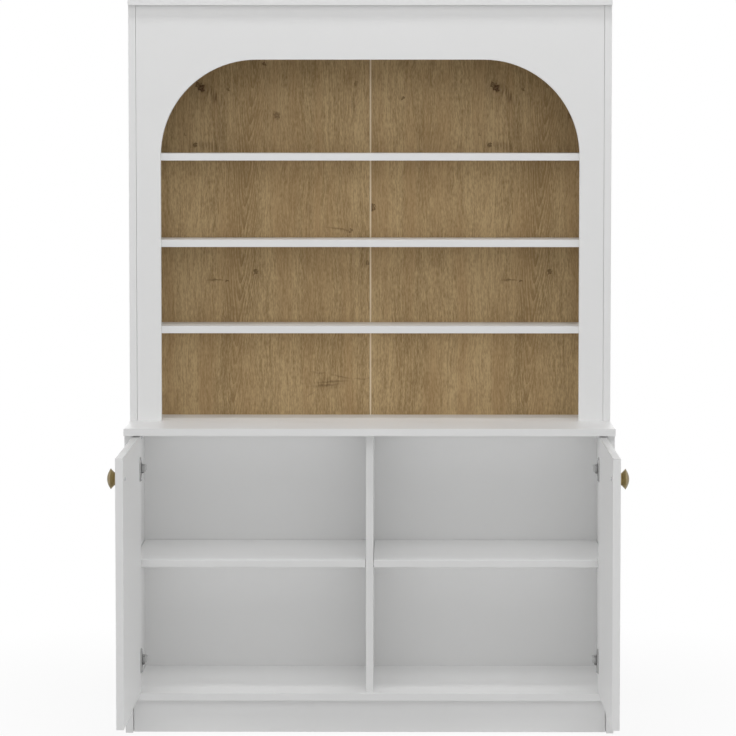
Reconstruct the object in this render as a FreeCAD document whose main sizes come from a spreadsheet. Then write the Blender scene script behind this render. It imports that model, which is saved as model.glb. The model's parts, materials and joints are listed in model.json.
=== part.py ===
import FreeCAD, Part
import os
import re
from FreeCAD import Placement, Rotation, Vector

# Kitchen buffet: a base cabinet with two inset doors, and an open hutch behind an arched face frame.
# The frame is +Z up, -Y to the front. The origin is on the floor, in the middle of the base cabinet.
# The doors are modelled standing open.

doc = FreeCAD.newDocument("kitchen_buffet")
sheet = doc.addObject("Spreadsheet::Sheet", "Sizes")

# Driving dimensions, in millimetres and degrees
SIZES = {
    # Boards
    "overall_width": 1200, "board": 18, "back_board": 3, "edge_round": 0.8, "overrun": 5,
    # Base cabinet
    "base_depth": 450, "worktop_overhang": 30, "base_inner_height": 638, "plinth_height": 80,
    "plinth_recess": 16, "plinth_end_gap": 1.5, "divider_recess": 23, "back_half_gap": 1,
    "base_shelf_recess": 27, "base_shelf_rise": 309, "shelf_end_gap": 1, "shelf_back_gap": 2,
    # Hutch
    "hutch_setback": 222, "hutch_height": 1034, "hutch_inner_depth": 193, "top_overhang": 18,
    "frame_end_gap": 0.6, "stile_width": 61, "head_width": 134, "arch_radius": 238,
    "hutch_shelf_rise": 218.5, "hutch_shelf_pitch": 215.6, "shelf_frame_gap": 0.5,
    "groove_depth": 8, "groove_play": 0.2,
    "strip_web": 1, "strip_face_width": 4, "strip_rear_width": 12, "strip_thickness": 0.8,
    # Doors and the hinge axis, from the side's inner face and from the front of the base
    "door_gap": 3, "door_bottom_gap": 7, "pivot_inset": 6.9, "pivot_depth": 3.9, "open_angle": 90,
    # Hinges
    "hinge_inset": 83, "cup_radius": 17.5, "cup_depth": 11.5, "cup_wall": 1.5, "cup_floor": 1, "cup_edge": 22,
    "flange_height": 60, "flange_width": 29, "flange_thickness": 3.4, "flange_round": 14,
    "cup_screw_spacing": 48, "cup_screw_offset": 6, "link_thickness": 1.6, "link_clearance": 0.3,
    "link_width": 7, "link_reach": 27, "link_tip_inset": 0.8, "arm_height": 16, "nose_inset": 24,
    "nose_width": 10.5, "nose_depth": 8.6, "crank_depth": 36, "crank_width": 10, "arm_length": 92,
    "arm_thickness": 12,
    "plate_height": 52, "plate_wing": 2.4, "plate_wing_depth": 14, "plate_block": 8, "plate_block_height": 14,
    "plate_setback": 42, "plate_screw_spacing": 40, "arm_screw_inset": 12, "arm_screw_bite": 6,
    # Screws of the hinges, knobs and wall brackets
    "screw_head_radius": 3.5, "screw_head_height": 1.6, "screw_radius": 1.75, "screw_bite": 11,
    # Knobs
    "knob_edge": 55, "knob_drop": 52, "knob_radius": 24, "knob_foot_radius": 15.5, "knob_neck_radius": 14,
    "knob_foot_height": 4, "knob_flare_height": 9, "knob_rim_height": 1.5, "knob_dome_height": 8,
    "knob_round": 0.7, "knob_screw_bite": 9, "knob_screw_head": 4.5, "knob_screw_head_height": 2,
    "knob_screw_radius": 2,
    # Shelf pins
    "pin_radius": 2.5, "pin_bite": 8, "pin_reach": 10, "pin_inset": 40,
    # Dowels, cam bolts and cam discs
    "dowel_radius": 4, "dowel_face_bite": 12, "dowel_edge_bite": 24, "dowel_inset": 60, "dowel_step": 45,
    "hutch_dowel_inset": 30,
    "cam_radius": 7.5, "cam_depth": 12.5, "cam_reach": 34, "cam_bolt_radius": 3, "cam_bolt_bite": 11,
    "cam_bolt_tail": 3,
    # Nails of the base back
    "nail_radius": 0.8, "nail_head_radius": 2, "nail_head_height": 0.8, "nail_length": 20, "nail_inset": 40,
    # Wall brackets
    "bracket_place": 152, "bracket_width": 30, "bracket_leg": 40, "bracket_thickness": 2,
    "bracket_bore": 2.75, "bracket_bore_drop": 24, "bracket_screw_inset": 22,
}
for row, (alias, value) in enumerate(SIZES.items(), start=1):
    sheet.set(f"A{row}", alias)
    sheet.set(f"B{row}", str(value))
    sheet.setAlias(f"B{row}", alias)
doc.recompute()

# Places worked out from the driving dimensions
PLACES = {
    "half": "overall_width / 2",
    "inner_half": "half - board",
    "front": "-base_depth / 2",
    "rear": "base_depth / 2",
    "carcass_rear": "rear - back_board",
    "bottom_top": "plinth_height + board",
    "worktop_low": "bottom_top + base_inner_height",
    "worktop_top": "worktop_low + board",
    "worktop_front": "front - worktop_overhang",
    "plinth_face": "front + plinth_recess",
    "plinth_rear": "plinth_face + board",
    "divider_front": "front + divider_recess",
    "base_shelf_low": "bottom_top + base_shelf_rise",
    "base_shelf_front": "front + base_shelf_recess",
    "base_shelf_rear": "carcass_rear - shelf_back_gap",
    "hutch_front": "worktop_front + hutch_setback",
    "frame_rear": "hutch_front + board",
    "top_low": "worktop_top + hutch_height",
    "top_front": "hutch_front - top_overhang",
    "hutch_back_front": "hutch_front + hutch_inner_depth",
    "hutch_back_rear": "hutch_back_front + back_board",
    "hutch_shelf_front": "frame_rear + shelf_frame_gap",
    "hutch_shelf_rear": "hutch_back_front - shelf_back_gap",
    "door_width": "inner_half - door_gap * 3 / 2",
    "door_low": "bottom_top + door_bottom_gap",
    "door_high": "worktop_low - door_gap",
    "upper_hinge": "worktop_low - hinge_inset",
    "lower_hinge": "bottom_top + hinge_inset",
    "door_edge": "door_gap - pivot_inset",
    "door_outer": "-pivot_depth",
    "door_inner": "board - pivot_depth",
    "cup_place": "door_edge + cup_edge",
    "cup_bottom": "door_inner - cup_depth",
    "flange_place": "cup_place + cup_screw_offset / 2",
    "flange_top": "door_inner + flange_thickness",
    "link_low": "arm_height / 2 + link_clearance",
    "link_end": "link_reach - pivot_depth",
    "knob_x": "door_edge + door_width - knob_edge",
    "knob_z": "door_high - knob_drop",
    "knob_height": "knob_foot_height + knob_flare_height + knob_rim_height + knob_dome_height",
    "knob_ball_radius": "(knob_radius * knob_radius / knob_dome_height + knob_dome_height) / 2",
    "plate_middle": "front + (plate_setback + arm_length) / 2",
    "bracket_rear": "rear - bracket_thickness",
    "bracket_middle": "-inner_half + bracket_place",
    "nail_span": "base_inner_height + board - nail_inset * 2",
}

# Turns that point a primitive's own Z axis along each direction
TURNS = {
    "x": Rotation(Vector(0, 1, 0), 90), "-x": Rotation(Vector(0, 1, 0), -90),
    "y": Rotation(Vector(1, 0, 0), -90), "-y": Rotation(Vector(1, 0, 0), 90),
    "z": Rotation(), "-z": Rotation(Vector(1, 0, 0), 180),
}

nodes = []


def size(alias):
    """The number that the sheet holds for a name."""
    return float(sheet.get(alias))


def formula(text):
    """Writes plain words as a formula on the sheet, with places worked out in full."""
    def word(match):
        name = match.group(0)
        if name in PLACES:
            return f"({formula(PLACES[name])})"
        return f"{sheet.Name}.{name}"
    return re.sub(r"[a-z][a-z_]*", word, text)


def bind(item, name, text):
    item.setExpression(name, formula(text))


def put(item, place, turn="z"):
    """Places an object at three bound coordinates, with its Z axis along a direction."""
    item.Placement = Placement(Vector(), TURNS[turn])
    for axis, text in zip("xyz", place):
        bind(item, f"Placement.Base.{axis}", text)


def box(name, low, high):
    """A box between two opposite corners."""
    item = doc.addObject("Part::Box", name)
    for side, start, end in zip(("Length", "Width", "Height"), low, high):
        bind(item, side, f"({end}) - ({start})")
    put(item, low)
    return item


def rod(name, radius, length, place, turn):
    """A cylinder that starts at a place and runs in a direction."""
    item = doc.addObject("Part::Cylinder", name)
    bind(item, "Radius", radius)
    bind(item, "Height", length)
    put(item, place, turn)
    return item


def group(name, items):
    item = doc.addObject("Part::Compound", name)
    item.Links = items
    return item


def fuse(name, items):
    item = doc.addObject("Part::MultiFuse", name)
    item.Shapes = items
    return item


def cut(name, base, tools):
    """Takes each tool out of a solid, one after the other."""
    for count, tool in enumerate(tools, start=1):
        last = count == len(tools)
        item = doc.addObject("Part::Cut", name if last else f"{name}_cut_{count}")
        item.Base = base
        item.Tool = tool
        base = item
    return base


def mirror(name, source):
    """The same piece on the other side of the middle plane."""
    item = doc.addObject("Part::Mirroring", name)
    item.Source = source
    item.Normal = Vector(1, 0, 0)
    return item


def both(name, items):
    """A group of like pieces on the left with their twins on the right."""
    left = group(f"{name}_left_set", items)
    return left, group(name, [left, mirror(f"{name}_right_set", left)])


def rounded(name, base, radius, wanted=lambda edge, whole: True):
    """Rounds the edges of a solid that are wanted, judged by their bounds and the solid's own."""
    doc.recompute()
    item = doc.addObject("Part::Fillet", name)
    item.Base = base
    whole = base.Shape.BoundBox
    picked = [i for i, edge in enumerate(base.Shape.Edges, start=1) if wanted(edge.BoundBox, whole)]
    item.Edges = [(i, size(radius), size(radius)) for i in picked]
    return item


def panel(name, low, high):
    """A board with lightly rounded edges."""
    return rounded(name, box(f"{name}_blank", low, high), "edge_round")


def screw(name, place, turn, head="screw_head_radius", height="screw_head_height", shank="screw_radius",
          length="screw_bite"):
    """A screw whose head lies on a surface at the place, and whose shank runs on in the direction."""
    back = {"x": "-x", "-x": "x", "y": "-y", "-y": "y", "z": "-z"}[turn]
    return fuse(name, [rod(f"{name}_shank", shank, length, place, turn),
                       rod(f"{name}_head", head, height, place, back)])


def node(item):
    """Counts an object as a finished piece."""
    nodes.append(item)
    return item


def pair(item, twin_name):
    """Counts a left piece and makes its right twin."""
    node(item)
    return node(mirror(twin_name, item))


# Dowels of the base: bottom board to sides, sides to worktop, divider and supports to their boards
base_rows = {"front": "front + dowel_inset", "rear": "carcass_rear - dowel_inset"}
bottom_middle = "plinth_height + board / 2"
side_middle = "-half + board / 2"
dowel_length = "dowel_face_bite + dowel_edge_bite"
cam_bolt_length = "cam_bolt_bite + cam_reach + cam_bolt_tail"
# Fixings beside a row of dowels stand further in from the front or from the rear
STEP_IN = {"front": "+", "rear": "-"}
base_dowel_list = []
for row, place in base_rows.items():
    base_dowel_list.append(rod(f"bottom_dowel_{row}", "dowel_radius", dowel_length,
                               ("-inner_half - dowel_face_bite", place, bottom_middle), "x"))
    base_dowel_list.append(rod(f"worktop_dowel_{row}", "dowel_radius", dowel_length,
                               (side_middle, place, "worktop_low - dowel_edge_bite"), "z"))
under_bottom = "plinth_height - dowel_edge_bite"
base_dowel_list.append(rod("plinth_dowel", "dowel_radius", dowel_length,
                           ("-inner_half / 2", "plinth_face + board / 2", under_bottom), "z"))
base_dowels_left, base_dowels_sides = both("base_dowel_sides", base_dowel_list)
middle_dowel_list = []
for row, place in base_rows.items():
    middle_dowel_list.append(rod(f"divider_dowel_{row}", "dowel_radius", dowel_length,
                                 ("0", place, "bottom_top - dowel_face_bite"), "z"))
    middle_dowel_list.append(rod(f"divider_head_dowel_{row}", "dowel_radius", dowel_length,
                                 ("0", place, "worktop_low - dowel_edge_bite"), "z"))
    middle_dowel_list.append(rod(f"support_dowel_{row}", "dowel_radius", dowel_length,
                                 ("0", f"{place} {STEP_IN[row]} dowel_step", under_bottom), "z"))
base_dowels_middle = group("base_dowel_middle", middle_dowel_list)
base_dowels = node(group("base_dowels", [base_dowels_sides, base_dowels_middle]))

# Cam bolts and discs of the base: the bottom board pulls to the sides, and the sides pull to the worktop
base_bolt_list = []
base_disc_list = []
for row, place in base_rows.items():
    cam_y = f"{place} {STEP_IN[row]} dowel_step"
    base_bolt_list.append(rod(f"bottom_bolt_{row}", "cam_bolt_radius", cam_bolt_length,
                              ("-inner_half - cam_bolt_bite", cam_y, bottom_middle), "x"))
    base_disc_list.append(rod(f"bottom_disc_{row}", "cam_radius", "cam_depth",
                              ("-inner_half + cam_reach", cam_y, "plinth_height"), "z"))
    base_bolt_list.append(rod(f"worktop_bolt_{row}", "cam_bolt_radius", cam_bolt_length,
                              (side_middle, cam_y, "worktop_low - cam_reach - cam_bolt_tail"), "z"))
    base_disc_list.append(rod(f"worktop_disc_{row}", "cam_radius", "cam_depth",
                              ("-inner_half", cam_y, "worktop_low - cam_reach"), "-x"))
base_bolts_left, base_bolts = both("base_cam_bolts", base_bolt_list)
base_discs_left, base_discs_whole = both("base_cam_disc_blanks", base_disc_list)
node(base_bolts)
node(cut("base_cam_discs", base_discs_whole, [base_bolts]))

# Shelf pins of the base, in the sides and in the divider
base_pin_y = {"front": "base_shelf_front + pin_inset", "rear": "base_shelf_rear - pin_inset"}
base_pin_list = []
for row, place in base_pin_y.items():
    for wall, start, turn in (("side", "-inner_half - pin_bite", "x"),
                              ("divider", "-board / 2 + pin_bite", "-x")):
        base_pin_list.append(rod(f"base_pin_{wall}_{row}", "pin_radius", "pin_bite + pin_reach",
                                 (start, place, "base_shelf_low - pin_radius"), turn))
base_pins_left, base_pins = both("base_shelf_pins", base_pin_list)
node(base_pins)

# Hinges of the left door. Cup and links are drawn around the hinge axis with the door shut,
# then swung open with it.
door_spot = ("-inner_half + pivot_inset", "front + pivot_depth", "0")


def hang(item):
    """Swings a piece drawn around the hinge axis to the open door's place."""
    put(item, door_spot)
    turn = Rotation(Vector(0, 0, 1), -size("open_angle"))
    item.Placement = Placement(item.Placement.Base, turn)
    return item


def at_shoulder(edge, whole):
    """The two edges through a flange, at its corners next to the hinge edge of the door."""
    return edge.YLength > edge.XLength + edge.ZLength and edge.XMax < whole.Center.x


cup_pockets = []
cup_screw_list = []
plate_screw_list = []
arm_screw_list = []
for level in ("upper", "lower"):
    name = f"left_{level}_hinge"
    middle = f"{level}_hinge"
    pocket = rod(f"{name}_pocket", "cup_radius", "cup_depth", ("cup_place", "cup_bottom", middle), "y")
    cup_pockets.append(pocket)
    flange_blank = box(f"{name}_flange_blank",
                       ("flange_place - flange_width / 2", "door_inner", f"{middle} - flange_height / 2"),
                       ("flange_place + flange_width / 2", "flange_top", f"{middle} + flange_height / 2"))
    flange = rounded(f"{name}_flange", flange_blank, "flange_round", at_shoulder)
    hollow = rod(f"{name}_hollow", "cup_radius - cup_wall", "flange_top - cup_bottom - cup_floor + overrun",
                 ("cup_place", "cup_bottom + cup_floor", middle), "y")
    screws = []
    for end, sign in (("top", "+"), ("foot", "-")):
        height = f"{middle} {sign} cup_screw_spacing / 2"
        screws.append(screw(f"{name}_cup_screw_{end}", ("cup_place + cup_screw_offset", "flange_top", height),
                            "-y"))
    cup_screw_list += screws
    cup = cut(f"{name}_cup", fuse(f"{name}_cup_blank", [pocket, flange]), [hollow] + screws)
    pair(hang(cup), f"right_{level}_hinge_cup")

    plates = []
    for end, low, high in (("top", "link_low", "link_low + link_thickness"),
                           ("foot", "-link_low - link_thickness", "-link_low")):
        riser = box(f"{name}_riser_{end}",
                    ("cup_place - link_width / 2", "cup_bottom + cup_floor", f"{middle} + {low}"),
                    ("cup_place + link_width / 2", "link_end", f"{middle} + {high}"))
        tip = box(f"{name}_tip_{end}",
                  ("link_tip_inset - pivot_inset", "link_end - link_width", f"{middle} + {low}"),
                  ("cup_place", "link_end", f"{middle} + {high}"))
        plates.append(fuse(f"{name}_link_{end}", [riser, tip]))
    pair(hang(group(f"{name}_links", plates)), f"right_{level}_hinge_links")

    # The arm and its plate stay on the cabinet side
    arm_low = f"{middle} - arm_height / 2"
    arm_high = f"{middle} + arm_height / 2"
    nose = box(f"{name}_nose", ("-inner_half + nose_inset", "front + nose_depth", arm_low),
               ("-inner_half + nose_inset + nose_width", "front + crank_depth + crank_width", arm_high))
    body = box(f"{name}_body", ("-inner_half + plate_block", "front + crank_depth", arm_low),
               ("-inner_half + plate_block + arm_thickness", "front + arm_length", arm_high))
    crank = box(f"{name}_crank", ("-inner_half + plate_block", "front + crank_depth", arm_low),
                ("-inner_half + nose_inset + nose_width", "front + crank_depth + crank_width", arm_high))
    arm_screws = []
    for end, place in (("front", "front + plate_setback + arm_screw_inset"),
                       ("rear", "front + arm_length - arm_screw_inset")):
        arm_screws.append(screw(f"{name}_arm_screw_{end}",
                                ("-inner_half + plate_block + arm_thickness", place, middle), "-x",
                                length="arm_thickness + arm_screw_bite"))
    arm_screw_list += arm_screws
    arm_blank = fuse(f"{name}_arm_blank", [nose, body, crank])
    pair(cut(f"{name}_arm", arm_blank, arm_screws), f"right_{level}_hinge_arm")
    block = box(f"{name}_block",
                ("-inner_half", "front + plate_setback", f"{middle} - plate_block_height / 2"),
                ("-inner_half + plate_block", "front + arm_length", f"{middle} + plate_block_height / 2"))
    wing = box(f"{name}_wing",
               ("-inner_half", "plate_middle - plate_wing_depth / 2", f"{middle} - plate_height / 2"),
               ("-inner_half + plate_wing", "plate_middle + plate_wing_depth / 2",
                f"{middle} + plate_height / 2"))
    screws = []
    for end, sign in (("top", "+"), ("foot", "-")):
        screws.append(screw(f"{name}_plate_screw_{end}",
                            ("-inner_half + plate_wing", "plate_middle",
                             f"{middle} {sign} plate_screw_spacing / 2"), "-x"))
    plate_screw_list += screws
    plate_blank = fuse(f"{name}_plate_blank", [block, wing])
    pair(cut(f"{name}_plate", plate_blank, screws + arm_screws), f"right_{level}_hinge_plate")

cup_screws = group("left_cup_screw_set", cup_screw_list)
pair(hang(group("left_hinge_cup_screws", cup_screw_list)), "right_hinge_cup_screws")
plate_screws = group("left_hinge_plate_screws", plate_screw_list)
pair(plate_screws, "right_hinge_plate_screws")
node(both("hinge_arm_screws", arm_screw_list)[1])

# Left door, knob and knob screw, drawn around the hinge axis and swung open
knob_screw = screw("left_knob_screw_blank", ("knob_x", "door_inner", "knob_z"), "-y", "knob_screw_head",
                   "knob_screw_head_height", "knob_screw_radius", "board + knob_screw_bite")
door_board = panel("left_door_board", ("door_edge", "door_outer", "door_low"),
                   ("door_edge + door_width", "door_inner", "door_high"))
left_door = cut("left_door", door_board, [group("left_cup_pockets", cup_pockets), cup_screws, knob_screw])
pair(hang(left_door), "right_door")
pair(hang(group("left_knob_screw", [knob_screw])), "right_knob_screw")


def knob_slice(name, kind, start, sizes):
    """One turned stretch of the knob, from a distance off the door's face."""
    item = doc.addObject(f"Part::{kind}", name)
    for key, text in sizes.items():
        bind(item, key, text)
    put(item, ("knob_x", f"door_outer - ({start})", "knob_z"), "-y")
    return item


knob_foot = knob_slice("knob_foot", "Cone", "0", {
    "Radius1": "knob_foot_radius", "Radius2": "knob_neck_radius", "Height": "knob_foot_height"})
knob_flare = knob_slice("knob_flare", "Cone", "knob_foot_height", {
    "Radius1": "knob_neck_radius", "Radius2": "knob_radius", "Height": "knob_flare_height"})
knob_rim = knob_slice("knob_rim", "Cylinder", "knob_foot_height + knob_flare_height", {
    "Radius": "knob_radius", "Height": "knob_rim_height"})
knob_ball = knob_slice("knob_ball", "Sphere", "knob_height - knob_ball_radius", {
    "Radius": "knob_ball_radius"})
knob_cap = knob_slice("knob_cap", "Cylinder", "knob_height - knob_dome_height", {
    "Radius": "knob_radius", "Height": "knob_dome_height"})
knob_dome = doc.addObject("Part::Common", "knob_dome")
knob_dome.Base = knob_cap
knob_dome.Tool = knob_ball


def at_knob_rim(edge, whole):
    """The two full circles around the widest stretch of the knob."""
    return edge.XLength > size("knob_foot_radius") + size("knob_radius")


knob_blank = fuse("knob_blank", [knob_foot, knob_flare, knob_rim, knob_dome])
knob_body = rounded("knob_body", knob_blank, "knob_round", at_knob_rim)
pair(hang(cut("left_knob", knob_body, [knob_screw])), "right_knob")

# Backs of the base, nailed into the rear edges of the side, the bottom board and the divider
nail_places = []
for count, level in enumerate(("foot", "middle", "top")):
    height = f"plinth_height + nail_inset + nail_span * {count} / 2"
    nail_places.append((f"side_nail_{level}", side_middle, height))
    nail_places.append((f"divider_nail_{level}", "-board / 4", height))
for count, level in enumerate(("inner", "outer"), start=1):
    nail_places.append((f"bottom_nail_{level}", f"-half * {count} / 3", bottom_middle))
nail_list = [screw(name, (x, "rear - nail_head_height", z), "-y", "nail_head_radius", "nail_head_height",
                   "nail_radius", "nail_length") for name, x, z in nail_places]
nails_left, nails = both("back_nails", nail_list)
node(nails)
back_left_blank = box("base_back_left_blank", ("-half", "carcass_rear", "plinth_height"),
                      ("-back_half_gap / 2", "rear", "worktop_low"))
pair(cut("base_back_left", back_left_blank, [nails_left]), "base_back_right")

# Dowels of the hutch: sides and frame legs to the worktop below and the top board above
hutch_rows = {"front": "frame_rear + hutch_dowel_inset", "rear": "rear - hutch_dowel_inset"}
stile_middle = "-inner_half + stile_width / 2"
frame_middle = "hutch_front + board / 2"
hutch_dowel_list = []
for row, x, y in (("front", side_middle, hutch_rows["front"]), ("rear", side_middle, hutch_rows["rear"]),
                  ("frame", stile_middle, frame_middle)):
    hutch_dowel_list.append(rod(f"hutch_foot_dowel_{row}", "dowel_radius", dowel_length,
                                (x, y, "worktop_top - dowel_face_bite"), "z"))
    hutch_dowel_list.append(rod(f"hutch_head_dowel_{row}", "dowel_radius", dowel_length,
                                (x, y, "top_low - dowel_edge_bite"), "z"))
hutch_dowels_left, hutch_dowels = both("hutch_dowels", hutch_dowel_list)
node(hutch_dowels)

# Cam bolts and discs of the hutch, at the foot and at the head of each side
hutch_bolt_list = []
hutch_disc_list = []
for row, place in hutch_rows.items():
    cam_y = f"{place} {STEP_IN[row]} dowel_step"
    for end, bolt_start, disc_place in (
            ("foot", "worktop_top - cam_bolt_bite", "worktop_top + cam_reach"),
            ("head", "top_low - cam_reach - cam_bolt_tail", "top_low - cam_reach")):
        hutch_bolt_list.append(rod(f"hutch_{end}_bolt_{row}", "cam_bolt_radius", cam_bolt_length,
                                   (side_middle, cam_y, bolt_start), "z"))
        hutch_disc_list.append(rod(f"hutch_{end}_disc_{row}", "cam_radius", "cam_depth",
                                   ("-inner_half", cam_y, disc_place), "-x"))
hutch_bolts_left, hutch_bolts = both("hutch_cam_bolts", hutch_bolt_list)
hutch_discs_left, hutch_discs_whole = both("hutch_cam_disc_blanks", hutch_disc_list)
node(hutch_bolts)
node(cut("hutch_cam_discs", hutch_discs_whole, [hutch_bolts]))

# Shelves of the hutch on their pins
hutch_pin_y = {"front": "hutch_shelf_front + pin_inset", "rear": "hutch_shelf_rear - pin_inset"}
hutch_pin_list = []
for count, level in enumerate(("lower", "middle", "upper")):
    shelf_low = f"worktop_top + hutch_shelf_rise + hutch_shelf_pitch * {count}"
    node(panel(f"hutch_shelf_{level}",
               ("-inner_half + shelf_end_gap", "hutch_shelf_front", shelf_low),
               ("inner_half - shelf_end_gap", "hutch_shelf_rear", f"{shelf_low} + board")))
    for row, place in hutch_pin_y.items():
        hutch_pin_list.append(rod(f"hutch_pin_{level}_{row}", "pin_radius", "pin_bite + pin_reach",
                                  ("-inner_half - pin_bite", place, f"{shelf_low} - pin_radius"), "x"))
hutch_pins_left, hutch_pins = both("hutch_shelf_pins", hutch_pin_list)
node(hutch_pins)

# Sides of the hutch, each with a groove that takes the edge of the back
hutch_side_board = panel("hutch_side_board", ("-half", "hutch_front", "worktop_top"),
                         ("-inner_half", "rear", "top_low"))
groove = box("back_groove",
             ("-inner_half - groove_depth - groove_play", "hutch_back_front - groove_play",
              "worktop_top - overrun"),
             ("-inner_half + overrun", "hutch_back_rear + groove_play", "top_low + overrun"))
hutch_side_holes = [groove, hutch_dowels_left, hutch_bolts_left, hutch_discs_left, hutch_pins_left]
pair(cut("hutch_left_side", hutch_side_board, hutch_side_holes), "hutch_right_side")

# Oak-effect backs, and the strip that joins them in the middle
pair(box("hutch_back_left", ("-inner_half - groove_depth", "hutch_back_front", "worktop_top"),
         ("-strip_web / 2 - groove_play", "hutch_back_rear", "top_low")), "hutch_back_right")
strip_front = "hutch_back_front - strip_thickness"
strip_rear = "hutch_back_rear + strip_thickness"
strip_walls = []
for wall, width, near, far in (("web", "strip_web", strip_front, strip_rear),
                               ("face", "strip_face_width", strip_front, "hutch_back_front"),
                               ("tail", "strip_rear_width", "hutch_back_rear", strip_rear)):
    strip_walls.append(box(f"strip_{wall}", (f"-{width} / 2", near, "worktop_top"),
                           (f"{width} / 2", far, "top_low")))
node(fuse("back_joint_strip", strip_walls))

# Arched face frame, one board with the opening sawn out
frame_blank = box("arch_frame_blank", ("-inner_half + frame_end_gap", "hutch_front", "worktop_top"),
                  ("inner_half - frame_end_gap", "frame_rear", "top_low"))
opening_blank = box("arch_opening_blank",
                    ("-inner_half + stile_width", "hutch_front - overrun", "worktop_top - overrun"),
                    ("inner_half - stile_width", "frame_rear + overrun", "top_low - head_width"))


def at_top_corner(edge, whole):
    """The two upper edges of the opening that run front to back."""
    return edge.YLength > edge.XLength + edge.ZLength and edge.ZMin > whole.Center.z


def at_front(edge, whole):
    """Edges around the front face of the frame."""
    return edge.YMax < whole.YMin + size("edge_round")


opening = rounded("arch_opening", opening_blank, "arch_radius", at_top_corner)
frame_sawn = cut("arch_frame_sawn", frame_blank, [opening])
frame_board = rounded("arch_frame_board", frame_sawn, "edge_round", at_front)
node(cut("arch_frame", frame_board, [hutch_dowels]))

# Wall brackets under the rear of the top board, and the screws that hold them there
bracket_low = ("bracket_middle - bracket_width / 2", "rear - bracket_leg", "top_low - bracket_thickness")
bracket_high = ("bracket_middle + bracket_width / 2", "rear", "top_low")
bracket_flat = box("bracket_flat", bracket_low, bracket_high)
bracket_wall = box("bracket_wall", (bracket_low[0], "bracket_rear", "top_low - bracket_leg"), bracket_high)
bracket_hole = rod("bracket_hole", "bracket_bore", "bracket_thickness + overrun * 2",
                   ("bracket_middle", "bracket_rear - overrun", "top_low - bracket_bore_drop"), "y")
bracket_screw = screw("left_bracket_screw", ("bracket_middle", "rear - bracket_screw_inset",
                                             "top_low - bracket_thickness"), "z")
bracket_blank = fuse("bracket_blank", [bracket_flat, bracket_wall])
pair(cut("left_wall_bracket", bracket_blank, [bracket_hole, bracket_screw]), "right_wall_bracket")
bracket_screws = node(both("wall_bracket_screws", [bracket_screw])[1])
hutch_top_board = panel("hutch_top_board", ("-half", "top_front", "top_low"),
                        ("half", "rear", "top_low + board"))
node(cut("hutch_top", hutch_top_board, [hutch_dowels, hutch_bolts, bracket_screws]))

# Boards of the base, bored for their fixings
base_side_board = panel("base_side_board", ("-half", "front", "0"),
                        ("-inner_half", "carcass_rear", "worktop_low"))
pair(cut("base_left_side", base_side_board,
         [base_dowels_left, base_bolts_left, base_discs_left, base_pins_left, plate_screws, nails_left]),
     "base_right_side")
bottom_board = panel("base_bottom_board", ("-inner_half", "front", "plinth_height"),
                     ("inner_half", "carcass_rear", "bottom_top"))
node(cut("base_bottom", bottom_board,
         [base_dowels_sides, base_dowels_middle, base_bolts, base_discs_whole, nails]))
divider_board = panel("base_divider_board", ("-board / 2", "divider_front", "bottom_top"),
                      ("board / 2", "carcass_rear", "worktop_low"))
node(cut("base_divider", divider_board, [base_dowels_middle, base_pins, nails]))
worktop_board = panel("worktop_board", ("-half", "worktop_front", "worktop_low"),
                      ("half", "rear", "worktop_top"))
node(cut("worktop", worktop_board,
         [base_dowels_sides, base_dowels_middle, base_bolts, hutch_dowels, hutch_bolts]))
plinth_board = panel("plinth_front_board", ("-inner_half + plinth_end_gap", "plinth_face", "0"),
                     ("inner_half - plinth_end_gap", "plinth_rear", "plinth_height"))
node(cut("plinth_front", plinth_board, [base_dowels_sides]))
support_board = panel("centre_support_board", ("-board / 2", "plinth_rear", "0"),
                      ("board / 2", "carcass_rear", "plinth_height"))
node(cut("centre_support", support_board, [base_dowels_middle]))
pair(panel("base_shelf_left", ("-inner_half + shelf_end_gap", "base_shelf_front", "base_shelf_low"),
           ("-board / 2 - shelf_end_gap", "base_shelf_rear", "base_shelf_low + board")), "base_shelf_right")

# Every object is sound before anything is written
doc.recompute()
for item in doc.Objects:
    if {"Invalid", "Error"} & set(item.State):
        raise RuntimeError(f"{item.Label} failed: {item.State}")
for item in nodes:
    if item.Shape.isNull() or not item.Shape.isValid() or not item.Shape.Solids:
        raise RuntimeError(f"{item.Label} has no sound shape")

os.makedirs("parts", exist_ok=True)
for item in nodes:
    item.Shape.exportStep(f"parts/{item.Label}.step")
    bounds = item.Shape.BoundBox
    print(f"{item.Label}: {len(item.Shape.Solids)} solids, {item.Shape.Volume / 1000:.1f} cm3, "
          f"x {bounds.XMin:.1f}..{bounds.XMax:.1f} y {bounds.YMin:.1f}..{bounds.YMax:.1f} "
          f"z {bounds.ZMin:.1f}..{bounds.ZMax:.1f}")
print(f"{len(nodes)} pieces")
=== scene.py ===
# %% [markdown]
# A kitchen buffet: a white base cabinet with two doors, and an open hutch with an arched front and an oak
# back. The boards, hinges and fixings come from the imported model, which is loaded first and never moved.
# This lesson gives them their finishes, makes the small turned and pressed pieces in finer detail, and
# lights the whole as a plain studio picture.

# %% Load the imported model
import json
import math

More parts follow.
